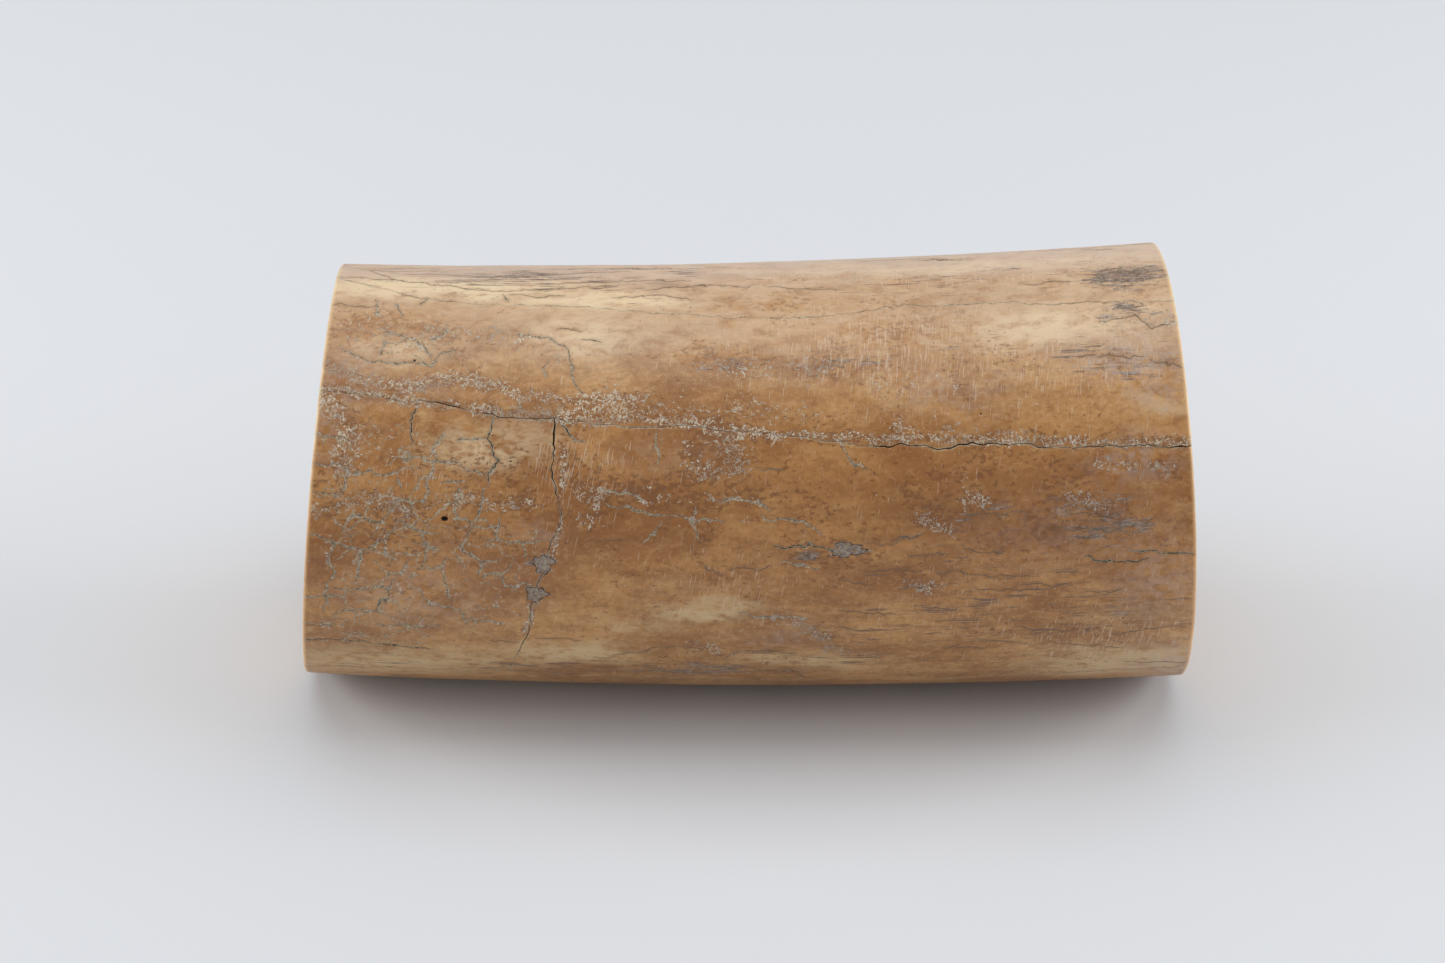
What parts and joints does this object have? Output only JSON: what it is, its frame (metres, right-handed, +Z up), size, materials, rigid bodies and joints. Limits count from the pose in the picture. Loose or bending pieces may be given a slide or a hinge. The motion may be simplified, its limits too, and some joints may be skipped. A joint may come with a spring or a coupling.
{
  "type": "fossil tusk section",
  "caption": "Sawn, polished length of fossil tusk lying on its side: slightly bent and tapered cylinder with cracked bark over nested dentine layers.",
  "frame": {"origin": "on the surface it lies on, under the middle of its bounding box", "axes": "+X along the tusk from the thinner sawn end to the thicker one, +Y to the back, +Z up"},
  "size_m": [0.1748, 0.086, 0.0876],
  "materials": {
    "bark": "polished fossil ivory, honey brown with cream patches and grey mineral-filled cracks",
    "dentine": "sawn fossil dentine, cream to tan with growth rings",
    "silt": "matt packed silt",
    "mineral": "matt grey-brown mineral filling"
  },
  "bodies": {
    "root": {"crown_bark_plate": "bark", "shoulder_bark_plate": "bark", "front_tip_bark_plate": "bark", "front_root_bark_plate": "bark", "belly_bark_plate": "bark", "back_bark_plate": "bark", "outer_dentine_sleeve": "dentine", "middle_dentine_sleeve": "dentine", "dentine_core": "dentine", "nerve_canal_silt": "silt", "upper_mineral_plug": "mineral", "lower_mineral_plug": "mineral", "right_mineral_plug": "mineral"}
  },
  "joints": []
}
